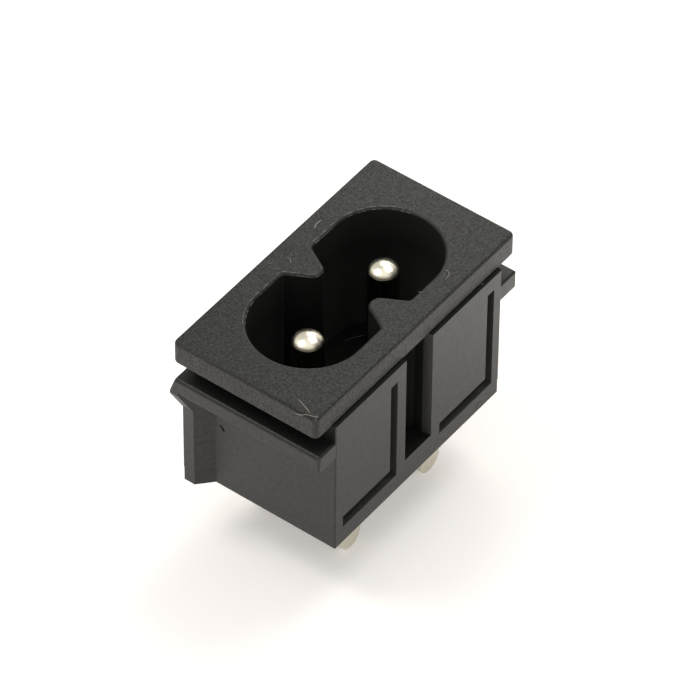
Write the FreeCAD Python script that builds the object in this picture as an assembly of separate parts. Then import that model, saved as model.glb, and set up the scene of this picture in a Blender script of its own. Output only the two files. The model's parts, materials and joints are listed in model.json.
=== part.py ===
"""Two-pole figure-eight appliance inlet with a panel groove and solder legs.

A black moulded housing has a front plate, a figure-eight recess, a hooked ledge at each short end
and core-outs behind the recess's two points. A moulded cover closes its back. Two round pins with
domed tips stand in the recess. Each is riveted to the web of a strap that is bent down at both
ends, and the strap's two legs pass through the cover.

X runs along the plate, +Y points to the long side that carries the hooks and +Z out of the recess.
The origin is at the middle of the footprint, where the legs' tips stand. Lengths are millimetres.
"""

import FreeCAD
import Part
import math
import os

# Contact pins
pin_spacing = 8.6
pin_diameter = 2.36
pin_tip_depth = 1.22
pin_dome_radius = 1.57
pin_edge_radius = 0.15
pin_axis_shift = 0.15

# Pin roots, in and behind the recess floor
root_diameter = 2.8
collar_diameter = 3.4
collar_thickness = 0.6
stem_diameter = 1.5
rivet_head_diameter = 2.4
rivet_head_height = 0.35
rivet_head_bevel = 0.15

# Figure-eight recess
recess_end_radius = 4.22
recess_depth = 11.0
recess_floor_thickness = 0.75
recess_rim_radius = 0.2
notch_width = 3.3
notch_point_depth = 2.98
notch_tip_radius = 0.81
notch_root_radius = 0.4

# Front plate
plate_length = 22.6
plate_width = 12.27
plate_thickness = 1.95
plate_corner_radius = 0.45
plate_edge_radius = 0.25
plate_underside_radius = 0.2
plate_near_setback = 0.25

# Housing body below the plate
body_length = 18.92
body_width = 12.34
body_corner_radius = 0.12
body_lower_bevel = 0.03
neck_height = 0.08
neck_setback = 0.45
rib_reach = 1.11
rib_width = 0.97
rib_ramp = 1.02

# Ledges that hold the panel against the plate
panel_gap = 1.61
ledge_reach = 1.84
ledge_thickness = 1.61
ledge_corner_radius = 0.25
ledge_top_radius = 0.28
ledge_bottom_radius = 0.5
ledge_near_radius = 0.22
ledge_near_setback = 0.02
hook_reach = 0.46
hook_run = 1.6
hook_nose_height = 0.5
hook_nose_radius = 0.8
hook_edge_radius = 0.15

# Core-outs behind the notches
slot_width = 3.03
slot_throat_width = 2.72
slot_flare = 0.7
slot_straight = 1.4
slot_depth = 2.77
slot_nose_width = 0.9
slot_floor = 0.91

# L-shaped grooves round the two pads of the near face
pad_inner_end = 2.48
pad_length = 6.12
pad_top_depth = 3.3
pad_foot_height = 0.25
groove_width = 0.77
groove_height = 1.05
groove_depth = 0.9
groove_corner_radius = 0.06

# Back cover
cover_thickness = 1.3
cover_inset = 0.02
cover_corner_radius = 0.12
cover_edge_radius = 0.06

# Riveted straps with two solder legs each
leg_spacing = 9.2
leg_span = 7.6
leg_length = 5.45
strap_width = 2.16
strap_thickness = 0.5
bend_radius = 0.3

# Clearances
bore_clearance = 0.03
pocket_clearance = 0.08

# Levels, from the legs' tips up to the plate's face
cover_bottom = leg_length
seam = cover_bottom + cover_thickness
web_top = seam + strap_thickness
collar_top = web_top + collar_thickness
recess_floor = collar_top + recess_floor_thickness
face = recess_floor + recess_depth
plate_underside = face - plate_thickness
ledge_top = plate_underside - panel_gap
ledge_bottom = ledge_top - ledge_thickness

# Places across the part, from the near side to the hooks. The pins stand a little past the body's middle
near_y = -(body_width + hook_reach) / 2
far_y = near_y + body_width
pin_y = near_y + body_width / 2 + pin_axis_shift
plate_near_y = near_y + plate_near_setback
plate_far_y = plate_near_y + plate_width

pin_radius = pin_diameter / 2
side_names = {-1: "left", 1: "right"}
overrun = 1.0
tolerance = 1e-4
far_reach = 10 * plate_length


def on_xy(u, v):
    return FreeCAD.Vector(u, v, 0)


def on_xz(u, v):
    return FreeCAD.Vector(u, 0, v)


def on_yz(u, v):
    return FreeCAD.Vector(0, u, v)


free_axis = {
    on_xy: FreeCAD.Vector(0, 0, 1),
    on_xz: FreeCAD.Vector(0, 1, 0),
    on_yz: FreeCAD.Vector(1, 0, 0),
}


def outline(corners, place):
    """Closes a wire round corners given as (u, v, radius), each rounded by a tangent arc."""
    spans = []
    for i, (u, v, radius) in enumerate(corners):
        here = FreeCAD.Vector(u, v, 0)
        back = FreeCAD.Vector(*corners[i - 1][:2], 0) - here
        ahead = FreeCAD.Vector(*corners[(i + 1) % len(corners)][:2], 0) - here
        if radius == 0:
            spans.append((here, None, here))
            continue
        back.normalize()
        ahead.normalize()
        half_angle = back.getAngle(ahead) / 2
        tangent = radius / math.tan(half_angle)
        inward = (back + ahead).normalize()
        middle = here + inward * (radius / math.sin(half_angle) - radius)
        spans.append((here + back * tangent, middle, here + ahead * tangent))
    edges = []
    for i, (start, middle, end) in enumerate(spans):
        last = spans[i - 1][2]
        if last.distanceToPoint(start) > tolerance:
            edges.append(Part.LineSegment(place(last.x, last.y), place(start.x, start.y)).toShape())
        if middle is not None:
            arc = Part.Arc(place(start.x, start.y), place(middle.x, middle.y), place(end.x, end.y))
            edges.append(arc.toShape())
    return Part.Wire(Part.__sortEdges__(edges))


def prism(corners, place, low, high):
    """Extrudes an outline along the axis that its plane leaves free, from low to high."""
    along = free_axis[place]
    solid = Part.Face(outline(corners, place)).extrude(along * (high - low))
    solid.translate(along * low)
    return solid


def block(x, y, z):
    """A box from pairs of limits."""
    size = [abs(pair[1] - pair[0]) for pair in (x, y, z)]
    return Part.makeBox(*size, FreeCAD.Vector(min(x), min(y), min(z)))


def disc(x, y, radius, low, high):
    return Part.makeCylinder(radius, high - low, FreeCAD.Vector(x, y, low))


def mirrored(solid):
    """The same solid on the other side of the plane x = 0."""
    return solid.mirror(FreeCAD.Vector(0, 0, 0), FreeCAD.Vector(1, 0, 0))


def edges_at(solid, level):
    """The edges of a solid that lie wholly at one height."""
    low = FreeCAD.Vector(-far_reach, -far_reach, level - tolerance)
    high = FreeCAD.Vector(far_reach, far_reach, level + tolerance)
    slab = FreeCAD.BoundBox(low, high)
    return [e for e in solid.Edges if slab.isInside(e.BoundBox)]


def rectangle(half, low, high, r):
    """A rounded rectangle's corners, centred in x."""
    return [(half, low, r), (half, high, r), (-half, high, r), (-half, low, r)]


def body_corners(inset, r):
    """The body's plan: straight near side, and ribs that swell out at the two far corners."""
    half = body_length / 2 - inset
    rib = half + rib_reach
    low = near_y + inset
    high = far_y - inset
    ramp_end = far_y - rib_width
    ramp_start = ramp_end - rib_ramp
    right = [(half, low, r), (half, ramp_start, 0), (rib, ramp_end, 0), (rib, high, r)]
    return right + [(-x, y, radius) for x, y, radius in reversed(right)]


def front_plate():
    corners = rectangle(plate_length / 2, plate_near_y, plate_far_y, plate_corner_radius)
    plate = prism(corners, on_xy, plate_underside, face)
    plate = plate.makeFillet(plate_edge_radius, edges_at(plate, face))
    return plate.makeFillet(plate_underside_radius, edges_at(plate, plate_underside))


def body():
    """The block under the plate, with a setback neck just below it and plain ends in the panel groove."""
    neck_top = plate_underside
    neck_bottom = neck_top - neck_height
    half = body_length / 2
    lower = prism(body_corners(0, body_corner_radius), on_xy, seam, ledge_top)
    lower = lower.makeChamfer(body_lower_bevel, edges_at(lower, seam))
    upper = prism(rectangle(half, near_y, far_y, body_corner_radius), on_xy, ledge_top, neck_bottom)
    neck = block((-half, half), (near_y + neck_setback, far_y - neck_setback), (neck_bottom, neck_top))
    return lower.fuse([upper, neck])


def ledge():
    """The right-hand ledge: a round-edged shelf whose far end leans out into a blunt hook.

    The hook swells from the rib below it to the shelf's full reach.
    """
    inner = body_length / 2 - overrun
    outer = body_length / 2 + ledge_reach
    rib = body_length / 2 + rib_reach
    near = near_y + ledge_near_setback
    nose = far_y + hook_reach
    beyond = nose + overrun
    nose_low = ledge_bottom - hook_nose_height / 2
    nose_high = ledge_bottom + hook_nose_height / 2
    hook_foot = ledge_bottom - hook_run
    hook_top = ledge_bottom + ledge_bottom_radius
    side_view = [(near, hook_foot, 0), (far_y, hook_foot, 0), (nose, nose_low, hook_nose_radius),
                 (nose, nose_high, hook_nose_radius), (far_y, ledge_top, 0), (near, ledge_top, 0)]
    plan = [(inner, near, 0), (outer, near, ledge_corner_radius), (outer, beyond, 0), (inner, beyond, 0)]
    limits = prism(side_view, on_yz, inner, outer).common(prism(plan, on_xy, hook_foot, ledge_top))
    shelf_section = [(inner, ledge_bottom, 0), (outer, ledge_bottom, ledge_bottom_radius),
                     (outer, ledge_top, ledge_top_radius), (inner, ledge_top, 0)]
    shelf_side = [(near, ledge_bottom, ledge_near_radius), (beyond, ledge_bottom, 0),
                  (beyond, ledge_top, 0), (near, ledge_top, ledge_near_radius)]
    shelf = prism(shelf_section, on_xz, near, beyond).common(prism(shelf_side, on_yz, inner, outer))
    hook_section = [(inner, hook_foot, 0), (rib, hook_foot, 0), (outer, ledge_bottom, hook_edge_radius),
                    (outer, hook_top, 0), (inner, hook_top, 0)]
    swell_start = far_y - rib_width
    swell_end = swell_start + outer - rib
    hook_plan = [(inner, swell_start, 0), (rib, swell_start, 0), (outer, swell_end, 0),
                 (outer, beyond, 0), (inner, beyond, 0)]
    hook = prism(hook_section, on_xz, near, beyond).common(prism(hook_plan, on_xy, hook_foot, hook_top))
    return shelf.fuse(hook).common(limits)


def recess():
    """The figure-eight hollow, whose two points reach in between the pins."""
    r = recess_end_radius
    end = pin_spacing / 2 + r
    root = notch_width / 2
    point = r - notch_point_depth
    corners = [
        (end, -r, r), (end, r, r),
        (root, r, notch_root_radius), (0, point, notch_tip_radius), (-root, r, notch_root_radius),
        (-end, r, r), (-end, -r, r),
        (-root, -r, notch_root_radius), (0, -point, notch_tip_radius), (root, -r, notch_root_radius),
    ]
    placed = [(x, y + pin_y, radius) for x, y, radius in corners]
    return prism(placed, on_xy, recess_floor, face)


def core_out(side_y, inward):
    """A slot that hollows the wall behind one notch, open to a long side: flared, straight, then tapering."""
    steps = [(slot_width, 0), (slot_throat_width, slot_flare), (slot_throat_width, slot_straight),
             (slot_nose_width, slot_depth)]
    right = [(slot_width / 2, side_y - inward * overrun, 0)]
    right += [(width / 2, side_y + inward * depth, 0) for width, depth in steps]
    corners = right + [(-x, y, 0) for x, y, _ in reversed(right)]
    return prism(corners, on_xy, seam + slot_floor, plate_underside)


def pad_groove(left_end):
    """An L-shaped groove: along the foot of a pad and up its right-hand end."""
    right_end = left_end + pad_length
    foot = seam + pad_foot_height
    top = face - pad_top_depth
    r = groove_corner_radius
    corners = [
        (left_end, foot, r), (right_end, foot, r), (right_end, top, r), (right_end - groove_width, top, r),
        (right_end - groove_width, foot + groove_height, r), (left_end, foot + groove_height, r),
    ]
    return prism(corners, on_xz, near_y - overrun, near_y + groove_depth)


def pin_seat(x):
    """The bore through the recess floor for the pin's root and the counterbore for its collar."""
    bore = disc(x, pin_y, root_diameter / 2 + bore_clearance, seam, recess_floor)
    counterbore = disc(x, pin_y, collar_diameter / 2 + bore_clearance, seam, collar_top)
    return bore.fuse(counterbore)


def strap_pocket(x):
    """The shallow pocket in the housing's back that the strap's web lies in."""
    half = strap_width / 2 + pocket_clearance
    reach = (leg_span + strap_thickness) / 2 + pocket_clearance
    return block((x - half, x + half), (pin_y - reach, pin_y + reach), (seam, web_top))


def housing():
    right_ledge = ledge()
    solid = front_plate().fuse([body(), right_ledge, mirrored(right_ledge)]).removeSplitter()
    solid = solid.cut(recess())
    solid = solid.makeFillet(recess_rim_radius, recess_rim(solid))
    grooves = [pad_groove(-pad_inner_end - pad_length), pad_groove(pad_inner_end)]
    slots = [core_out(near_y, 1), core_out(far_y, -1)]
    seats = [pin_seat(side * pin_spacing / 2) for side in side_names]
    pockets = [strap_pocket(side * leg_spacing / 2) for side in side_names]
    return solid.cut(grooves + slots + seats + pockets)


def recess_rim(solid):
    """The edges where the recess meets the plate's face."""
    reach_x = pin_spacing / 2 + recess_end_radius + tolerance
    reach_y = recess_end_radius + tolerance
    low = FreeCAD.Vector(-reach_x, pin_y - reach_y, face - overrun)
    high = FreeCAD.Vector(reach_x, pin_y + reach_y, face + overrun)
    limits = FreeCAD.BoundBox(low, high)
    return [e for e in edges_at(solid, face) if limits.isInside(e.BoundBox)]


def leg_slot(x, way):
    """The cover's slot for one leg, on the near side (way -1) or the far side (way 1).

    It is eased inwards at the top, where the strap is still bending.
    """
    half = strap_width / 2 + pocket_clearance
    outer = leg_span / 2 + strap_thickness / 2 + pocket_clearance
    inner = leg_span / 2 - strap_thickness / 2 - pocket_clearance
    eased = inner - bend_radius
    eased_foot = seam - bend_radius - 2 * pocket_clearance
    profile = [(outer, cover_bottom - overrun), (outer, seam + overrun), (eased, seam + overrun),
               (eased, seam), (inner, eased_foot), (inner, cover_bottom - overrun)]
    placed = [(pin_y + way * y, z, 0) for y, z in profile]
    return prism(placed, on_yz, x - half, x + half)


def back_cover():
    solid = prism(body_corners(cover_inset, cover_corner_radius), on_xy, cover_bottom, seam)
    solid = solid.makeFillet(cover_edge_radius, edges_at(solid, cover_bottom))
    cuts = []
    for side in side_names:
        cuts += [leg_slot(side * leg_spacing / 2, way) for way in (-1, 1)]
        head_pocket_floor = seam - rivet_head_height - pocket_clearance
        head_pocket_radius = rivet_head_diameter / 2 + pocket_clearance
        cuts.append(disc(side * pin_spacing / 2, pin_y, head_pocket_radius, head_pocket_floor, seam))
    return solid.cut(cuts)


def contact_pin(x):
    """A turned pin: shallow domed tip with a rounded edge, shaft, thicker root, collar, and a headed stem."""
    tip = face - pin_tip_depth
    dome_middle = tip - pin_dome_radius
    shaft_top = dome_middle + math.sqrt(pin_dome_radius ** 2 - pin_radius ** 2)
    half_way = pin_radius / 2
    dome_half_way = dome_middle + math.sqrt(pin_dome_radius ** 2 - half_way ** 2)
    head_bottom = seam - rivet_head_height
    stem = stem_diameter / 2
    head = rivet_head_diameter / 2
    collar = collar_diameter / 2
    root = root_diameter / 2
    rivet_head = [(0, head_bottom), (head - rivet_head_bevel, head_bottom),
                  (head, head_bottom + rivet_head_bevel), (head, seam)]
    shoulders = [(stem, seam), (stem, web_top), (collar, web_top), (collar, collar_top),
                 (root, collar_top), (root, recess_floor)]
    points = rivet_head + shoulders + [(pin_radius, recess_floor), (pin_radius, shaft_top)]
    edges = [Part.LineSegment(on_xz(*a), on_xz(*b)).toShape() for a, b in zip(points, points[1:])]
    dome = Part.Arc(on_xz(pin_radius, shaft_top), on_xz(half_way, dome_half_way), on_xz(0, tip))
    edges += [dome.toShape(), Part.LineSegment(on_xz(0, tip), on_xz(0, head_bottom)).toShape()]
    half_section = Part.Face(Part.Wire(edges))
    solid = half_section.revolve(FreeCAD.Vector(0, 0, 0), FreeCAD.Vector(0, 0, 1), 360)
    solid = solid.makeFillet(pin_edge_radius, edges_at(solid, shaft_top))
    solid.translate(FreeCAD.Vector(x, pin_y, 0))
    return solid


def terminal(side):
    """A strip bent into a bridge: its web is riveted to the pin and its two round-ended legs point down."""
    x = side * leg_spacing / 2
    half = strap_width / 2
    outer = (leg_span + strap_thickness) / 2
    inner = (leg_span - strap_thickness) / 2
    outer_bend = bend_radius + strap_thickness
    left_half = [(pin_y - inner, seam, bend_radius), (pin_y - inner, 0, 0),
                 (pin_y - outer, 0, 0), (pin_y - outer, web_top, outer_bend)]
    right_half = [(2 * pin_y - y, z, r) for y, z, r in reversed(left_half)]
    bridge = prism(left_half + right_half, on_yz, x - half, x + half)
    reach = outer + overrun
    above = web_top + overrun
    leg_face = [(x - half, 0, half), (x + half, 0, half), (x + half, above, 0), (x - half, above, 0)]
    rounded = prism(leg_face, on_xz, pin_y - reach, pin_y + reach)
    hole = disc(side * pin_spacing / 2, pin_y, stem_diameter / 2, seam - overrun, above)
    return bridge.common(rounded).cut(hole)


def pieces():
    made = {"housing": housing(), "back_cover": back_cover()}
    for side, name in side_names.items():
        made[f"contact_pin_{name}"] = contact_pin(side * pin_spacing / 2)
        made[f"terminal_{name}"] = terminal(side)
    return made


os.makedirs("parts", exist_ok=True)
for node, shape in pieces().items():
    solid = shape.Solids[0] if len(shape.Solids) == 1 else shape
    solid.exportStep(f"parts/{node}.step")
    box = solid.BoundBox
    limits = [round(v, 3) for v in (box.XMin, box.XMax, box.YMin, box.YMax, box.ZMin, box.ZMax)]
    volume = round(solid.Volume, 3)
    print(node, "solids", len(shape.Solids), "valid", solid.isValid(), "volume", volume, "limits", limits)
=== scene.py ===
"""Finishes for a two-pole figure-eight appliance inlet, laid out as an add-on.

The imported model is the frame: its housing, back cover, pins and terminals give the main sizes and
places. Each operator dresses one group of pieces. Moulded and stamped pieces are merged copies of
their nodes, and the rounds that can be seen on them are the frame's own. X runs along the plate,
Z out of the recess, and lengths are metres, or millimetres where a comment says so.
"""

import json
import math
from random import Random

import bpy
from mathutils import Euler, Matrix, Vector

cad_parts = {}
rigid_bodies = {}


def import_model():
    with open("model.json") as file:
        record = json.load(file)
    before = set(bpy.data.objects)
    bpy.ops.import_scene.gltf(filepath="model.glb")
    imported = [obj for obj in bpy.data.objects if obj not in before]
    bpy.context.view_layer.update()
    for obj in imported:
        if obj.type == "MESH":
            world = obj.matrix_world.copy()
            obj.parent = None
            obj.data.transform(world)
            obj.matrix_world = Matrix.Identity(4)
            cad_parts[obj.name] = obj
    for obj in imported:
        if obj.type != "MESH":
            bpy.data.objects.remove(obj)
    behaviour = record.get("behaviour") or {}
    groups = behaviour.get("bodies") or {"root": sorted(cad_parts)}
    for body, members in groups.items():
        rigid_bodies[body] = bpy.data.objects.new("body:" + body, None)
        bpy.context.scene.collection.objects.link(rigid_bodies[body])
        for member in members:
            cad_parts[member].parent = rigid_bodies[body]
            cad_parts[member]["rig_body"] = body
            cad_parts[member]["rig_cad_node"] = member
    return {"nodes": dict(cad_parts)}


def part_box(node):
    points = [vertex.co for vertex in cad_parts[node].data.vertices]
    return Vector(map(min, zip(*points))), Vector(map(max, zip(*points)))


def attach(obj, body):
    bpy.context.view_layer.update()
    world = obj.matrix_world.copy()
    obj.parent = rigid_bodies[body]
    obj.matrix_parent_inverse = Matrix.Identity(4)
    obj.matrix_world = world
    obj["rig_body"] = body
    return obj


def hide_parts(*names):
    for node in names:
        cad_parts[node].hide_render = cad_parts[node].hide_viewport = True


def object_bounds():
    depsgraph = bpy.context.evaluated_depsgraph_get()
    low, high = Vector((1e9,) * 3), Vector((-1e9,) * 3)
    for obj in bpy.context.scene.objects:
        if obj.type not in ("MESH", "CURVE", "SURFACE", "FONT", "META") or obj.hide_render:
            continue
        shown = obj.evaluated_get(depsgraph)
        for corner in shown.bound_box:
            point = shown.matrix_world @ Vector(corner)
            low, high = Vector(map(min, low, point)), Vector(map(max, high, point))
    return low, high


bl_info = {
    "name": "Figure-eight appliance inlet",
    "version": (1, 0, 0),
    "blender": (4, 5, 0),
    "location": "View3D > Sidebar > Inlet",
    "description": "Moulded, plated and tinned finishes for a two-pole appliance inlet, with a photo stage",
    "category": "Object",
}

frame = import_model()
cad_box = [list(corner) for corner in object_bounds()]
low, high = (Vector(corner) for corner in cad_box)

MM = 0.001
TO_MM = 1000.0

# Places read from the frame
housing_low, housing_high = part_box("housing")
face_z = housing_high.z
seam_z = housing_low.z
near_y = housing_low.y
left_pin_low, left_pin_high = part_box("contact_pin_left")
right_pin_low, right_pin_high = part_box("contact_pin_right")
left_axis = (left_pin_low + left_pin_high) / 2
right_axis = (right_pin_low + right_pin_high) / 2

# How near a point lies to a plane that it is on
ON_PLANE = 0.001 * MM

# The recess's depth in millimetres
RECESS_DEPTH = 11.0

# Merging a copy, in millimetres and radians: nearer points become one, flatter edges go
WELD = 0.0005
FLAT_ANGLE = math.radians(0.4)

# Edges that turn by more than the first angle are rounded, and by more than the second stay sharp
SHARP_ANGLE = math.radians(28)
SMOOTH_ANGLE = math.radians(50)

# The tight seam, in millimetres: beyond this along X, and this near to the seam's height
BODY_END = 9.3
SEAM_TOLERANCE = 0.01

# The refractive index of PBT
PBT_IOR = 1.52

# Tool finishes of the housing, and painted light in its grooves and on the slot's flare, in the order of its
# materials
SPARK, SATIN, POLISHED, ROUGH_CORE, PAINTED_LIGHT, DULL = range(6)

# The rim's rounding lies within this margin outside the recess's wall, and below this depth
RIM_MARGIN = 0.25 * MM
RIM_DEPTH = 0.004 * MM

# Half the length and width of the recess's inside below the plate
RECESS_INSIDE = (8.6 * MM, 4.4 * MM)

# Half the width of the core-outs, how far inside each long side they start, and where they flare
CORE_HALF_WIDTH = 1.6 * MM
CORE_NEAR_INSET = 0.05 * MM
CORE_FAR_INSET = 0.5 * MM
FLARE_MIDDLE = 6.05 * MM
FLARE_HALF_DEPTH = 0.33 * MM

# The L-shaped grooves: how far inside the near face, along X, under the plate and over the seam
GROOVE_DEPTHS = (0.06 * MM, 1.0 * MM)
GROOVE_REACH = (1.7 * MM, 9.3 * MM)
GROOVE_BELOW_PLATE = 0.5 * MM
GROOVE_OVER_SEAM = 0.1 * MM

# The ledges' lower rounding: within this of the ends, and turned down by these amounts
LEDGE_END = 0.06 * MM
LEDGE_TURNS = (-0.98, -0.1)

# The sink pit in the left end face, in millimetres: place, stretch and tilt
PIT_PLACE = (-9.46, 3.32, 11.28)
PIT_STRETCH = (1.0, 0.8, 1.9)
PIT_TILT = math.radians(-33)

# The rim's vertices lie within these half sizes of the recess's middle
RIM_BOX = (9.0 * MM, 4.6 * MM)

# Flash: the bearings of its two runs in degrees, the fewest vertices of a run, and its draw
FLASH_RUNS = ((5, 67), (79, 156))
FLASH_LEAST_VERTICES = 6
FLASH_SEED = 11

# Its step and sway, and how far its inner strand lies inward and down, in millimetres
FLASH_STEP = 0.14
FLASH_SWAY = 0.02
FLASH_INWARD = 0.17
FLASH_DOWN = Vector((0, 0, 0.1))

# The widths of its strands, as shares of its thickness
FLASH_OUTER_WIDTHS = (0.15, 1.0)
FLASH_INNER_WIDTHS = (-0.6, 1.0)
FLASH_LEAST_WIDTH = 0.05

# Heights at which fibres lie, in millimetres: on the plate, and on the recess's floor
FACE = face_z * TO_MM + 0.02
FLOOR = FACE - RECESS_DEPTH


def level(height, *places):
    """Knots that all lie at one height."""
    return tuple((x, y, height) for x, y in places)


# Fibres of dust: a weight, then knots in millimetres
FIBRES = (
    (1.4, level(FACE, (3.11, 5.0), (3.27, 5.12), (3.54, 5.21), (3.8, 5.2), (4.05, 5.18))),
    (0.8, level(FACE, (-0.24, 4.84), (-0.2, 4.72), (-0.22, 4.58), (-0.32, 4.43), (-0.5, 4.3))),
    (0.4, level(FACE, (-1.48, 5.55), (-1.44, 5.46), (-1.37, 5.38), (-1.28, 5.32), (-1.19, 5.28))),
    (0.5, level(FACE, (-1.67, 5.4), (-1.67, 5.23), (-1.67, 5.02), (-1.6, 4.72), (-1.43, 4.51))),
    (1.1, level(FACE, (5.36, -4.54), (5.41, -4.68), (5.33, -4.89), (5.12, -5.01), (4.58, -5.07))),
    (0.8, level(FACE, (2.66, -4.28), (2.59, -4.38), (2.59, -4.47), (2.68, -4.56), (2.81, -4.58))),
    (1.1, level(FACE, (-10.43, -3.96), (-10.5, -4.24), (-10.64, -4.6), (-10.77, -4.95), (-10.95, -5.32))),
    (0.9, ((-11.32, -4.32, FACE - 0.32), (-11.32, -4.62, FACE - 0.28), (-11.32, -4.95, FACE - 0.14))
          + level(FACE, (-11.22, -5.21), (-11.11, -5.46), (-11.06, -5.76), (-10.97, -5.93))),
    (0.5, level(FLOOR, (4.41, 3.23), (4.79, 3.12), (5.12, 2.93), (5.42, 2.72), (5.72, 2.51))),
    (0.9, ((6.91, -6.4, 5.73), (6.99, -6.4, 5.81), (7.11, -6.4, 5.9), (7.2, -6.4, 6.02), (7.38, -6.4, 6.02))),
)

# How much a fibre narrows at its first and last knot
FIBRE_ENDS = (0.7, 0.6)

# Specks of dust: a place and a width in millimetres
SPECKS = (
    ((-10.97, -5.91, FACE - 0.01), 0.13),
    ((-11.14, -5.99, FACE - 0.1), 0.1),
    ((7.45, -6.15, 17.63), 0.12),
)

# The floor's glow in the part's gloss, a painted reflection that grows away from the part: the way across it,
# then where it brightens and how far, on either side
ACROSS = (0.8, -0.6, 0)
RIGHT_OF_PART = (15 * MM, 30 * MM)
RIGHT_PAINTED_REFLECTION = (0.34, 1.3)
LEFT_OF_PART = (2 * MM, -12 * MM)
LEFT_PAINTED_REFLECTION = (0.36, 0.65)

# The floor's width in metres, and how strongly it glows to the camera
FLOOR_WIDTH = 4.0
FLOOR_GLOW = 0.32

# Open sides of the studio: a direction and the strength left in it, from one angle's cosine to another
OPEN_SIDES = (((0.56, -0.72, 0.42), 0.15), ((0.45, 0.5, 0.74), 0.64))
OPEN_COSINES = (0.65, 0.95)

# How strongly the surround lights what neither the camera nor gloss sees
SOFT_LIGHT = 0.62

# Studio lights: a name, a place and a width in metres, watts and a tint
MIDDLE_LIGHTS = (
    ("left_softbox", (-0.16, 0.215, 0.5), 0.2, 0.92, (1, 0.985, 0.965)),
    ("right_softbox", (0.225, -0.045, 0.44), 0.22, 0.7, (1, 0.985, 0.965)),
)
END_LIGHT = ("near_lamp", (0.0308, 0.0145, 0.0447), 0.02, 0.004, (1, 0.98, 0.95))

# The photo's camera: the point aimed at, the lens and the film in millimetres
AIM = (0.0, -0.458, 13.639)
LENS = 312.33
FILM_WIDTH = 36.0


def linear(hex_colour):
    """An sRGB hex colour as linear RGBA."""
    shares = [int(hex_colour[i:i + 2], 16) / 255 for i in (1, 3, 5)]
    return tuple(s / 12.92 if s <= 0.04045 else ((s + 0.055) / 1.055) ** 2.4 for s in shares) + (1.0,)


def length(name, description, default):
    return bpy.props.FloatProperty(name=name, description=description, default=default,
                                   subtype="DISTANCE", unit="LENGTH")


def angle(name, description, default):
    return bpy.props.FloatProperty(name=name, description=description, default=math.radians(default),
                                   subtype="ANGLE", unit="ROTATION")


def colour(name, description, hex_colour):
    return bpy.props.FloatVectorProperty(name=name, description=description, default=linear(hex_colour),
                                         size=4, subtype="COLOR", min=0.0, max=1.0)


class InletSizes(bpy.types.PropertyGroup):
    plate_thickness: length("Plate thickness", "Height of the plate's sides", 1.95 * MM)
    recess_radius: length("Recess radius", "Radius of the recess round each pin", 4.22 * MM)
    recess_depth: length("Recess depth", "From the plate's face to the recess's floor", RECESS_DEPTH * MM)
    pit_radius: length("Pit radius", "Radius of the sink pit before its stretch", 0.17 * MM)
    flash_thickness: length("Flash thickness", "Thickness of the flash along the rim", 0.1 * MM)
    lint_thickness: length("Lint thickness", "Thickness of a fibre of dust", 0.06 * MM)
    moulded_round: length("Moulded round", "Widest round on the mouldings, before the clamp", 0.05 * MM)
    stamped_round: length("Stamped round", "Widest round on the strips, before the clamp", 0.06 * MM)
    spark_grain: length("Spark grain", "Size of the plate's spark-eroded grains", 0.16 * MM)
    dust_grain: length("Dust grain", "Distance between the specks of dust", 0.11 * MM)
    haze_grain: length("Haze grain", "Size of the clouds in the stoned surfaces", 0.35 * MM)
    torn_grain: length("Torn grain", "Distance between the pale places of the flash", 0.4 * MM)
    twist_grain: length("Twist grain", "Distance between the thin places of a fibre", 0.5 * MM)
    plating_grain: length("Plating grain", "Size of the dull and bright places of the nickel", 0.5 * MM)
    tin_grain: length("Tin grain", "Size of the ripples in the tin", 0.8 * MM)
    painted_shade_start: length("Tarnish start", "From the pin's tip down to where tarnish begins", 0.27 * MM)
    painted_shade_full: length("Tarnish full", "From the pin's tip down to where it is full", 0.42 * MM)


class InletColours(bpy.types.PropertyGroup):
    black_plastic: colour("Black plastic", "Carbon-black moulding compound", "#1B1B1A")
    recess_painted_light: colour("Recess painted light", "The same compound, paler as painted light inside the recess", "#262625")
    recess_floor_painted_light: colour("Recess floor painted light", "The compound, paler still as painted light at the recess's floor", "#525250")
    groove_painted_light: colour("Groove painted light", "The compound, paler as painted light in the grooves and the slot's flare", "#3A3A38")
    painted_shade: colour("Painted shade", "Nickel darkened below the tip as painted shade", "#5F5A50")
    flash: colour("Flash", "Thin flash, which looks paler than the solid compound", "#6A6A65")
    nickel: colour("Nickel", "Nickel plating on the pins", "#F0EADB")
    tin: colour("Tin", "Tin on the strips", "#CFCBBC")
    lint: colour("Lint", "Pale fibres of dust", "#9B978F")
    dust: colour("Dust", "Specks of dust on the plate", "#3A3A37")
    floor: colour("Floor", "Pale studio floor", "#F4F0EC")
    surround: colour("Surround", "Warm white of the studio's walls", "#FFFDF3")


class InletStudio(bpy.types.PropertyGroup):
    camera_distance: length("Camera distance", "From the lens to the point aimed at", 417.97 * MM)
    camera_heading: angle("Camera heading", "Direction of view, from X towards Y", 36.694)
    camera_elevation: angle("Camera elevation", "Angle of the view below level", 45.915)
    camera_roll: angle("Camera roll", "Turn of the picture about its middle", 0.584)


def scene_data():
    return bpy.context.scene.inlet_sizes, bpy.context.scene.inlet_colours, bpy.context.scene.inlet_studio


def deselect():
    bpy.ops.object.select_all(action="DESELECT")


def make_active(piece):
    deselect()
    piece.select_set(True)
    bpy.context.view_layer.objects.active = piece


def apply_modifier(piece, kind, **settings):
    """Adds a modifier with its settings and applies it."""
    modifier = piece.modifiers.new(kind, kind)
    for name, value in settings.items():
        setattr(modifier, name, value)
    make_active(piece)
    bpy.ops.object.modifier_apply(modifier=modifier.name)


def add_node(tree, kind, inputs=None, **settings):
    """Adds a node, sets its properties and fills its sockets with values or links."""
    node = tree.nodes.new(kind)
    for name, value in settings.items():
        setattr(node, name, value)
    for name, value in (inputs or {}).items():
        socket = node.inputs[name]
        if isinstance(value, bpy.types.NodeSocket):
            tree.links.new(value, socket)
        else:
            socket.default_value = value
    return node


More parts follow.
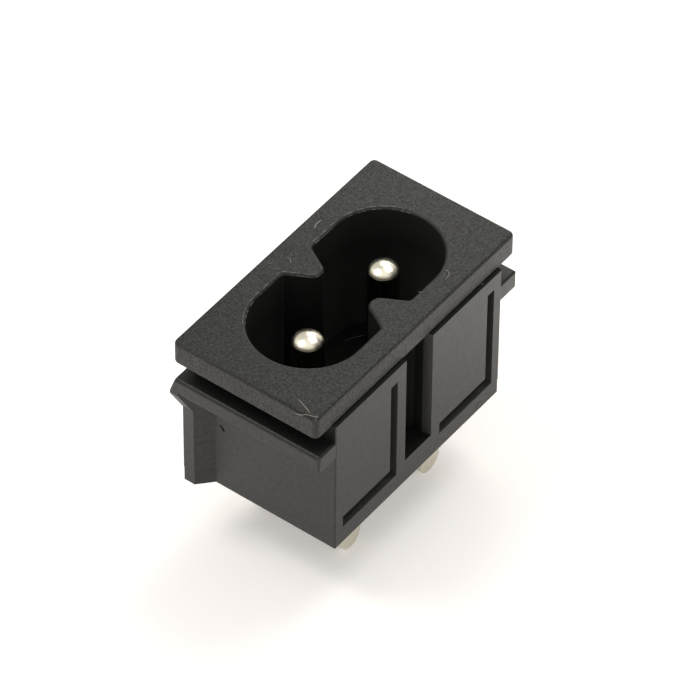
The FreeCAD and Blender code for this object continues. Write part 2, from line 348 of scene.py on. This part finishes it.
def object_place(tree):
    return add_node(tree, "ShaderNodeTexCoord").outputs["Object"]


def noise(tree, place, size, detail, roughness=0.5):
    """Noise whose features have a real size."""
    return add_node(tree, "ShaderNodeTexNoise", {
        "Vector": place, "Scale": 1.0 / size, "Detail": detail, "Roughness": roughness}).outputs["Fac"]


def map_range(tree, value, source, result, **settings):
    """Carries a value from the range of a pair of ends to that of another pair."""
    return add_node(tree, "ShaderNodeMapRange", {
        "Value": value, "From Min": source[0], "From Max": source[1],
        "To Min": result[0], "To Max": result[1]}, **settings).outputs["Result"]


def mix_colours(tree, factor, first, second):
    return add_node(tree, "ShaderNodeMix", {
        "Factor": factor, 6: first, 7: second}, data_type="RGBA").outputs[2]


def bump(tree, height, strength, distance):
    return add_node(tree, "ShaderNodeBump", {
        "Height": height, "Strength": strength, "Distance": distance}).outputs["Normal"]


def new_material(name):
    material = bpy.data.materials.new(name)
    material.use_nodes = True
    material.node_tree.nodes.clear()
    return material, material.node_tree


def finish_material(tree, inputs):
    shader = add_node(tree, "ShaderNodeBsdfPrincipled", inputs)
    add_node(tree, "ShaderNodeOutputMaterial", {"Surface": shader.outputs["BSDF"]})


def merged_copy(node, name):
    """A welded copy of a node, in millimetres and without materials, whose flat faces are whole again."""
    source = frame["nodes"][node]
    piece = source.copy()
    piece.data = source.data.copy()
    piece.name = name
    piece.data.name = name
    piece.parent = None
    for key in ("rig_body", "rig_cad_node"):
        del piece[key]
    bpy.context.scene.collection.objects.link(piece)
    piece.data.materials.clear()
    make_active(piece)
    piece.scale = (TO_MM,) * 3
    bpy.ops.object.transform_apply(location=False, rotation=False, scale=True)
    bpy.ops.mesh.customdata_custom_splitnormals_clear()
    bpy.ops.object.mode_set(mode="EDIT")
    bpy.ops.mesh.select_all(action="SELECT")
    bpy.ops.mesh.remove_doubles(threshold=WELD)
    bpy.ops.mesh.normals_make_consistent(inside=False)
    bpy.ops.mesh.dissolve_limited(angle_limit=FLAT_ANGLE)
    bpy.ops.object.mode_set(mode="OBJECT")
    return piece


def at_tight_seam(start, end):
    """Whether an edge, in millimetres, lies in the seam at an end of the body, too tight to see."""
    in_seam = all(abs(place.z - seam_z * TO_MM) < SEAM_TOLERANCE for place in (start, end))
    at_one_end = start.x * end.x > 0 and min(abs(start.x), abs(end.x)) > BODY_END
    return in_seam and at_one_end


def round_edges(piece, width):
    """Rounds the sharp edges of a piece in millimetres, but not those of the tight seam.

    The clamp narrows every round of a piece to what its shortest edges leave room for: to about
    0.001 mm on the mouldings and 0.01 mm on the strips.
    """
    make_active(piece)
    bpy.ops.object.mode_set(mode="EDIT")
    bpy.ops.mesh.select_mode(type="EDGE")
    bpy.ops.mesh.select_all(action="DESELECT")
    bpy.ops.mesh.edges_select_sharp(sharpness=SHARP_ANGLE)
    bpy.ops.object.mode_set(mode="OBJECT")
    for edge in piece.data.edges:
        start, end = (piece.data.vertices[index].co for index in edge.vertices)
        if at_tight_seam(start, end):
            edge.select = False
    bpy.ops.object.mode_set(mode="EDIT")
    bpy.ops.mesh.bevel(offset=width * TO_MM, segments=2, affect="EDGES", clamp_overlap=True)
    bpy.ops.object.mode_set(mode="OBJECT")


def strand(knots, thickness, widths):
    """A thin round strand, in millimetres, that follows its knots and varies in width."""
    deselect()
    bpy.ops.curve.primitive_nurbs_path_add()
    piece = bpy.context.object
    path = piece.data.splines[0]
    path.points.add(len(knots) - len(path.points))
    for point, knot, width in zip(path.points, knots, widths):
        point.co = (*knot, 1.0)
        point.radius = width
    path.order_u = 3
    path.use_endpoint_u = True
    path.resolution_u = 3
    piece.data.bevel_depth = thickness / 2
    piece.data.bevel_resolution = 1
    piece.data.use_fill_caps = True
    bpy.ops.object.convert(target="MESH")
    return piece


def joined(pieces, name):
    """One piece made of several."""
    deselect()
    for piece in pieces:
        piece.select_set(True)
    bpy.context.view_layer.objects.active = pieces[0]
    bpy.ops.object.join()
    whole = bpy.context.object
    whole.name = name
    whole.data.name = name
    return whole


def set_down(piece, nodes, body):
    """Brings a piece in millimetres to its size, smooths it and puts it in its nodes' place."""
    make_active(piece)
    bpy.ops.object.shade_smooth_by_angle(angle=SMOOTH_ANGLE)
    apply_modifier(piece, "WEIGHTED_NORMAL", keep_sharp=True, weight=50)
    piece.scale = (MM,) * 3
    bpy.ops.object.transform_apply(location=False, rotation=False, scale=True)
    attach(piece, body)
    if nodes:
        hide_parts(*nodes)


def polybutylene_spark_eroded():
    """PBT moulded against a spark-eroded tool: a dry grey of dull and bright grains, with specks of dust."""
    sizes, colours, _ = scene_data()
    material, tree = new_material("PBT, spark-eroded")
    place = object_place(tree)
    grain = noise(tree, place, sizes.spark_grain, 2.0, 0.6)
    specks = map_range(tree, noise(tree, place, sizes.dust_grain, 0.0), (0.7, 0.78), (0.0, 1.0))
    finish_material(tree, {
        "Base Color": mix_colours(tree, specks, colours.black_plastic, colours.dust),
        "Roughness": 0.5, "IOR": PBT_IOR,
        "Specular IOR Level": map_range(tree, grain, (0.35, 0.65), (0.2, 0.42)),
        "Normal": bump(tree, grain, 1.0, 0.05 * MM)})
    return material


def polybutylene_satin(name, base, sheen):
    """PBT moulded against a stoned tool: smoother than the plate, with a soft and slightly cloudy sheen."""
    sizes, _, _ = scene_data()
    material, tree = new_material(name)
    haze = noise(tree, object_place(tree), sizes.haze_grain, 3.0, 0.55)
    finish_material(tree, {
        "Base Color": base, "Roughness": 0.42, "IOR": PBT_IOR,
        "Specular IOR Level": map_range(tree, haze, (0.3, 0.7), sheen),
        "Normal": bump(tree, haze, 1.0, 0.01 * MM)})
    return material


def polybutylene_polished():
    """PBT moulded against a polished core: a dim gloss on a paler colour, painted light that lifts the
    recess's shade, paler still towards the recess's floor.
    """
    sizes, colours, _ = scene_data()
    material, tree = new_material("PBT, polished core")
    height = add_node(tree, "ShaderNodeSeparateXYZ", {"Vector": object_place(tree)}).outputs["Z"]
    # Painted light: the recess's walls are paler than the body, and paler still towards the floor, to lift
    # their shade
    painted_light_depths = (face_z - 0.3 * sizes.recess_depth, face_z - sizes.recess_depth)
    painted_light_share = map_range(tree, height, painted_light_depths, (0.0, 1.0))
    finish_material(tree, {
        "Base Color": mix_colours(tree, painted_light_share, colours.recess_painted_light, colours.recess_floor_painted_light),
        "Roughness": 0.36, "IOR": PBT_IOR, "Specular IOR Level": 0.18})
    return material


def polybutylene_rough_core():
    """PBT moulded against a rough core: nearly no sheen, so it stays black in its depth."""
    _, colours, _ = scene_data()
    material, tree = new_material("PBT, rough core")
    finish_material(tree, {
        "Base Color": colours.black_plastic, "Roughness": 0.7, "IOR": PBT_IOR, "Specular IOR Level": 0.06})
    return material


def polybutylene_flash():
    """PBT squeezed out between the tool's halves: so thin and torn that it looks grey, paler in places."""
    sizes, colours, _ = scene_data()
    material, tree = new_material("PBT flash")
    tears = noise(tree, object_place(tree), sizes.torn_grain, 2.0)
    worn = map_range(tree, tears, (0.4, 0.6), (0.0, 1.0))
    finish_material(tree, {
        "Base Color": mix_colours(tree, worn, colours.black_plastic, colours.flash),
        "Roughness": 0.55, "IOR": PBT_IOR, "Specular IOR Level": 0.4})
    return material


def cotton_lint():
    """Loose cotton and paper fibres: matt and pale, and thinner in places so that the plastic shows."""
    sizes, colours, _ = scene_data()
    material, tree = new_material("Cotton lint")
    twist = noise(tree, object_place(tree), sizes.twist_grain, 1.0)
    thin = map_range(tree, twist, (0.35, 0.65), (0.5, 1.0))
    finish_material(tree, {
        "Base Color": mix_colours(tree, thin, colours.dust, colours.lint),
        "Roughness": 0.9, "IOR": 1.5, "Specular IOR Level": 0.1})
    return material


def nickel_plate():
    """Nickel over turned brass: a warm bright tip, with painted shade that darkens the nickel below it, over
    the rounded edge and the shaft.
    """
    sizes, colours, _ = scene_data()
    material, tree = new_material("Nickel plate on turned brass")
    place = object_place(tree)
    height = add_node(tree, "ShaderNodeSeparateXYZ", {"Vector": place}).outputs["Z"]
    # Painted shade: the nickel turns dark below the tip, where the pin's edge and shaft reflect the dark
    # recess
    painted_shade_heights = (left_pin_high.z - sizes.painted_shade_start, left_pin_high.z - sizes.painted_shade_full)
    below = map_range(tree, height, painted_shade_heights, (0.0, 1.0))
    haze = noise(tree, place, sizes.plating_grain, 3.0)
    finish_material(tree, {
        "Base Color": mix_colours(tree, below, colours.nickel, colours.painted_shade), "Metallic": 1.0,
        "Roughness": map_range(tree, haze, (0.3, 0.7), (0.2, 0.3))})
    return material


def tinned_strip():
    """Tin dipped over brass strip: pale and slightly greenish, with a soft uneven shine."""
    sizes, colours, _ = scene_data()
    material, tree = new_material("Tinned brass strip")
    flow = noise(tree, object_place(tree), sizes.tin_grain, 3.0)
    finish_material(tree, {
        "Base Color": colours.tin, "Metallic": 1.0,
        "Roughness": map_range(tree, flow, (0.3, 0.7), (0.22, 0.42)),
        "Normal": bump(tree, flow, 0.6, 0.01 * MM)})
    return material


def sink_pit(piece, radius):
    """Cuts a small slanted pit into the left end face of a piece in millimetres."""
    deselect()
    bpy.ops.mesh.primitive_uv_sphere_add(segments=12, ring_count=8, radius=radius, location=PIT_PLACE)
    cutter = bpy.context.object
    cutter.scale = PIT_STRETCH
    cutter.rotation_euler = (PIT_TILT, 0, 0)
    bpy.ops.object.transform_apply(location=True, rotation=True, scale=True)
    apply_modifier(piece, "BOOLEAN", operation="DIFFERENCE", solver="EXACT", object=cutter)
    bpy.data.objects.remove(cutter)


def in_recess(point, reach):
    """Whether a point lies within a reach of the line between the pins."""
    between_ends = left_axis.x - reach < point.x < right_axis.x + reach
    return between_ends and abs(point.y - left_axis.y) < reach


def moulded_surface(centre, normal, sizes):
    """The tool finish of a face of the housing, or the painted light of its grooves and flare, from its
    middle and its normal.
    """
    below_plate = face_z - sizes.plate_thickness - centre.z
    inside = centre.z < face_z - RIM_DEPTH and in_recess(centre, sizes.recess_radius + RIM_MARGIN)
    if below_plate < ON_PLANE:
        return POLISHED if inside else SPARK

    off_middle = abs(centre.x)
    in_groove = GROOVE_DEPTHS[0] < centre.y - near_y < GROOVE_DEPTHS[1]
    in_groove = in_groove and GROOVE_REACH[0] < off_middle < GROOVE_REACH[1]
    # Inside the grooves: painted light, a paler and glossier copy of the satin
    if in_groove and below_plate > GROOVE_BELOW_PLATE and centre.z > seam_z + GROOVE_OVER_SEAM:
        return PAINTED_LIGHT

    # In the slot: painted light on its flare, and the black rough core deeper in
    if off_middle < CORE_HALF_WIDTH and near_y + CORE_NEAR_INSET < centre.y < -near_y - CORE_FAR_INSET:
        flared = abs(abs(centre.y) - FLARE_MIDDLE) < FLARE_HALF_DEPTH
        return PAINTED_LIGHT if flared else ROUGH_CORE

    if inside and off_middle < RECESS_INSIDE[0] and abs(centre.y) < RECESS_INSIDE[1]:
        return POLISHED

    if off_middle > high.x - LEDGE_END and LEDGE_TURNS[0] < normal.z < LEDGE_TURNS[1]:
        return DULL
    return SATIN


class INLET_OT_housing(bpy.types.Operator):
    """Cuts the sink pit and gives each of the housing's surfaces the tool finish it was moulded with, with
    painted light on the recess's walls, in the grooves and on the slot's flare
    """
    bl_idname = "inlet.housing"
    bl_label = "Housing"

    def execute(self, context):
        sizes, colours, _ = scene_data()
        piece = merged_copy("housing", "housing_moulding")
        round_edges(piece, sizes.moulded_round)
        sink_pit(piece, sizes.pit_radius * TO_MM)
        set_down(piece, ["housing"], "root")
        finishes = {
            SPARK: polybutylene_spark_eroded(),
            SATIN: polybutylene_satin("PBT, stoned tool", colours.black_plastic, (0.26, 0.35)),
            POLISHED: polybutylene_polished(),
            ROUGH_CORE: polybutylene_rough_core(),
            # Painted light: paler and glossier than the body, for the grooves and the slot's flare
            PAINTED_LIGHT: polybutylene_satin("PBT, painted light in the grooves and the flare",
                                      colours.groove_painted_light, (0.5, 0.6)),
            DULL: polybutylene_satin("PBT, edge dulled by handling", colours.black_plastic, (0.1, 0.14)),
        }
        for number in sorted(finishes):
            piece.data.materials.append(finishes[number])
        for polygon in piece.data.polygons:
            polygon.material_index = moulded_surface(polygon.center, polygon.normal, sizes)
        return {"FINISHED"}


def rim_places():
    """The rim's vertices on the plate's face, in millimetres, by their bearings in degrees."""
    housing = frame["nodes"]["housing"]
    middle = (left_axis + right_axis) / 2
    places = {}
    for vertex in housing.data.vertices:
        place = housing.matrix_world @ vertex.co
        bearing = math.degrees(math.atan2(place.y - middle.y, place.x - middle.x))
        on_rim = abs(place.x) < RIM_BOX[0] and abs(place.y - middle.y) < RIM_BOX[1]
        if on_rim and abs(place.z - face_z) < ON_PLANE:
            places[round(bearing, 2)] = place * TO_MM
    return places


def torn_strands(line, draw, thickness):
    """Two ragged strands of flash, one along a line in millimetres and one just inside it."""
    outer, outer_widths, inner, inner_widths = [], [], [], []
    for start, end in zip(line, line[1:]):
        along = (end - start).normalized()
        inward = Vector((-along.y, along.x, 0))
        steps = max(1, round((end - start).length / FLASH_STEP))
        for step in range(steps):
            place = start.lerp(end, step / steps)
            ragged = Vector([draw.uniform(-FLASH_SWAY, FLASH_SWAY) for _ in range(3)])
            outer.append(place + ragged)
            outer_widths.append(draw.uniform(*FLASH_OUTER_WIDTHS))
            inner.append(place + inward * FLASH_INWARD - FLASH_DOWN + ragged)
            inner_widths.append(max(FLASH_LEAST_WIDTH, draw.uniform(*FLASH_INNER_WIDTHS)))
    return [strand(outer, thickness, outer_widths), strand(inner, thickness, inner_widths)]


class INLET_OT_rim_flash(bpy.types.Operator):
    """Leaves a thin torn flash along the far half of the recess's rim"""
    bl_idname = "inlet.rim_flash"
    bl_label = "Rim flash"

    def execute(self, context):
        sizes, _, _ = scene_data()
        rim = rim_places()
        draw = Random(FLASH_SEED)
        strands = []
        for first, last in FLASH_RUNS:
            line = [rim[bearing] for bearing in sorted(rim) if first < bearing < last]
            if len(line) < FLASH_LEAST_VERTICES:
                raise RuntimeError("the recess's rim was not found in the frame")
            strands += torn_strands(line, draw, sizes.flash_thickness * TO_MM)
        piece = joined(strands, "rim_flash")
        set_down(piece, [], "root")
        piece.data.materials.append(polybutylene_flash())
        return {"FINISHED"}


class INLET_OT_lint(bpy.types.Operator):
    """Lays a few fibres and specks of dust where the photo shows them"""
    bl_idname = "inlet.lint"
    bl_label = "Lint"

    def execute(self, context):
        sizes, _, _ = scene_data()
        thickness = sizes.lint_thickness * TO_MM
        strands = []
        for weight, knots in FIBRES:
            taper = [FIBRE_ENDS[0]] + [1.0] * (len(knots) - 2) + [FIBRE_ENDS[1]]
            strands.append(strand(knots, thickness * weight, taper))
        for place, width in SPECKS:
            bpy.ops.mesh.primitive_ico_sphere_add(subdivisions=1, radius=width / 2, location=place)
            bpy.ops.object.transform_apply(location=True, rotation=False, scale=False)
            strands.append(bpy.context.object)
        piece = joined(strands, "lint")
        set_down(piece, [], "root")
        piece.data.materials.append(cotton_lint())
        return {"FINISHED"}


class INLET_OT_back_cover(bpy.types.Operator):
    """Gives the back cover the body's finish"""
    bl_idname = "inlet.back_cover"
    bl_label = "Back cover"

    def execute(self, context):
        sizes, colours, _ = scene_data()
        piece = merged_copy("back_cover", "back_cover_moulding")
        round_edges(piece, sizes.moulded_round)
        set_down(piece, ["back_cover"], "root")
        stoned = polybutylene_satin("PBT cover, stoned tool", colours.black_plastic, (0.25, 0.34))
        piece.data.materials.append(stoned)
        return {"FINISHED"}


class INLET_OT_contact_pins(bpy.types.Operator):
    """Plates the two contact pins"""
    bl_idname = "inlet.contact_pins"
    bl_label = "Contact pins"

    def execute(self, context):
        material = nickel_plate()
        for node in ("contact_pin_left", "contact_pin_right"):
            pin = frame["nodes"][node]
            pin.data.materials.clear()
            pin.data.materials.append(material)
        return {"FINISHED"}


class INLET_OT_terminals(bpy.types.Operator):
    """Softens the strips' stamped edges and tins them"""
    bl_idname = "inlet.terminals"
    bl_label = "Terminals"

    def execute(self, context):
        sizes, _, _ = scene_data()
        material = tinned_strip()
        for side in ("left", "right"):
            piece = merged_copy(f"terminal_{side}", f"tinned_terminal_{side}")
            round_edges(piece, sizes.stamped_round)
            set_down(piece, [f"terminal_{side}"], "root")
            piece.data.materials.append(material)
        return {"FINISHED"}


def area_light(target, name, place, size, power, tint):
    """A soft square panel that faces a point."""
    data = bpy.data.lights.new(name, "AREA")
    data.shape = "SQUARE"
    data.size = size
    data.energy = power
    data.color = tint
    light = bpy.data.objects.new(name, data)
    light.location = place
    light.rotation_euler = (Vector(target) - Vector(place)).to_track_quat("-Z", "Y").to_euler()
    bpy.context.scene.collection.objects.link(light)


def seen_rays(tree):
    """A factor of one for the rays of the camera, of gloss and of glass, and nought for the rest."""
    path = add_node(tree, "ShaderNodeLightPath")
    gloss = add_node(tree, "ShaderNodeMath", {
        0: path.outputs["Is Camera Ray"], 1: path.outputs["Is Glossy Ray"]}, operation="MAXIMUM")
    seen = add_node(tree, "ShaderNodeMath", {
        0: gloss.outputs["Value"], 1: path.outputs["Is Transmission Ray"]}, operation="MAXIMUM")
    return seen.outputs["Value"]


def open_side(tree, direction, strength):
    """The surround's strength: one, but less towards a side where the studio is open and unlit."""
    toward = Vector(direction).normalized()
    place = add_node(tree, "ShaderNodeTexCoord").outputs["Generated"]
    facing = add_node(tree, "ShaderNodeVectorMath", {0: place, 1: toward}, operation="DOT_PRODUCT")
    return map_range(tree, facing.outputs["Value"], OPEN_COSINES, (1.0, strength),
                     interpolation_type="SMOOTHSTEP")


def lay_floor(colours):
    """A sheet of white paper. It glows a little to the camera, and to gloss by a share that grows away from
    the part: a painted reflection that brightens the part's near faces.
    """
    deselect()
    bpy.ops.mesh.primitive_plane_add(size=FLOOR_WIDTH, location=(0, 0, low.z))
    floor = bpy.context.object
    floor.name = "floor"
    material, tree = new_material("Matt white paper")
    paper = add_node(tree, "ShaderNodeBsdfDiffuse", {"Color": colours.floor})
    path = add_node(tree, "ShaderNodeLightPath")
    across = add_node(tree, "ShaderNodeVectorMath", {
        0: object_place(tree), 1: ACROSS}, operation="DOT_PRODUCT").outputs["Value"]
    # Painted reflection: gloss sees the floor glow more away from the part, which brightens the part's near
    # faces towards their ends
    painted_reflection = add_node(tree, "ShaderNodeMath", {
        0: map_range(tree, across, RIGHT_OF_PART, RIGHT_PAINTED_REFLECTION),
        1: map_range(tree, across, LEFT_OF_PART, LEFT_PAINTED_REFLECTION)}, operation="MAXIMUM").outputs["Value"]
    share = map_range(tree, path.outputs["Is Camera Ray"], (0.0, 1.0), (painted_reflection, FLOOR_GLOW))
    glow = add_node(tree, "ShaderNodeEmission", {"Color": colours.floor, "Strength": share})
    seen = add_node(tree, "ShaderNodeMixShader", {0: seen_rays(tree), 2: glow.outputs["Emission"]})
    both = add_node(tree, "ShaderNodeAddShader", {0: paper.outputs["BSDF"], 1: seen.outputs["Shader"]})
    add_node(tree, "ShaderNodeOutputMaterial", {"Surface": both.outputs["Shader"]})
    floor.data.materials.append(material)


def surround(scene, colours):
    """White to the camera, walls with two open sides to gloss, and an even soft light to the rest."""
    world = bpy.data.worlds.new("Studio surround")
    scene.world = world
    world.use_nodes = True
    tree = world.node_tree
    tree.nodes.clear()
    white = add_node(tree, "ShaderNodeBackground", {"Color": (1, 1, 1, 1), "Strength": 1.0})
    first_side, second_side = (open_side(tree, direction, strength) for direction, strength in OPEN_SIDES)
    sides = add_node(tree, "ShaderNodeMath", {0: first_side, 1: second_side}, operation="MULTIPLY")
    walls = add_node(tree, "ShaderNodeBackground", {
        "Color": colours.surround, "Strength": sides.outputs["Value"]})
    soft = add_node(tree, "ShaderNodeBackground", {"Color": (1, 1, 1, 1), "Strength": SOFT_LIGHT})
    path = add_node(tree, "ShaderNodeLightPath")
    lit = add_node(tree, "ShaderNodeMixShader", {
        0: seen_rays(tree), 1: soft.outputs["Background"], 2: walls.outputs["Background"]})
    mixed = add_node(tree, "ShaderNodeMixShader", {
        0: path.outputs["Is Camera Ray"], 1: lit.outputs["Shader"], 2: white.outputs["Background"]})
    add_node(tree, "ShaderNodeOutputWorld", {"Surface": mixed.outputs["Shader"]})


def photo_camera(scene, studio):
    """The camera that was fitted to the photo."""
    heading, elevation = studio.camera_heading, studio.camera_elevation
    flat = math.cos(elevation)
    view = Vector((flat * math.cos(heading), flat * math.sin(heading), -math.sin(elevation)))
    data = bpy.data.cameras.new("photo_camera")
    data.sensor_width = FILM_WIDTH
    data.lens = LENS
    data.clip_start = 0.01
    data.clip_end = 10.0
    camera = bpy.data.objects.new("photo_camera", data)
    turn = Euler((math.pi / 2 - elevation, 0, heading - math.pi / 2)).to_matrix()
    turn = turn @ Matrix.Rotation(studio.camera_roll, 3, "Z")
    place = Vector(AIM) * MM - view * studio.camera_distance
    camera.matrix_world = Matrix.LocRotScale(place, turn, None)
    scene.collection.objects.link(camera)
    scene.camera = camera


class INLET_OT_stage(bpy.types.Operator):
    """Sets the pale floor, the soft lights and the camera"""
    bl_idname = "inlet.stage"
    bl_label = "Stage"

    def execute(self, context):
        _, colours, studio = scene_data()
        scene = context.scene
        scene.view_settings.view_transform = "Standard"
        lay_floor(colours)
        surround(scene, colours)
        middle = (low + high) / 2
        for light in MIDDLE_LIGHTS:
            area_light(middle, *light)
        right_end = Vector((high.x, 0, face_z))
        area_light(right_end, *END_LIGHT)
        photo_camera(scene, studio)
        return {"FINISHED"}


class INLET_PT_sidebar(bpy.types.Panel):
    """Lists the steps that dress the inlet"""
    bl_label = "Appliance inlet"
    bl_idname = "INLET_PT_sidebar"
    bl_space_type = "VIEW_3D"
    bl_region_type = "UI"
    bl_category = "Inlet"

    def draw(self, context):
        for operator in operators:
            self.layout.operator(operator.bl_idname)


operators = (INLET_OT_stage, INLET_OT_housing, INLET_OT_rim_flash, INLET_OT_back_cover,
             INLET_OT_contact_pins, INLET_OT_terminals, INLET_OT_lint)
groups = {"inlet_sizes": InletSizes, "inlet_colours": InletColours, "inlet_studio": InletStudio}
classes = tuple(groups.values()) + operators + (INLET_PT_sidebar,)


def register():
    for cls in classes:
        bpy.utils.register_class(cls)
    for name, group in groups.items():
        setattr(bpy.types.Scene, name, bpy.props.PointerProperty(type=group))


def unregister():
    for name in groups:
        delattr(bpy.types.Scene, name)
    for cls in reversed(classes):
        bpy.utils.unregister_class(cls)


def main():
    register()
    bpy.ops.inlet.stage()
    bpy.ops.inlet.housing()
    bpy.ops.inlet.rim_flash()
    bpy.ops.inlet.back_cover()
    bpy.ops.inlet.contact_pins()
    bpy.ops.inlet.terminals()
    bpy.ops.inlet.lint()


if __name__ == "__main__":
    main()
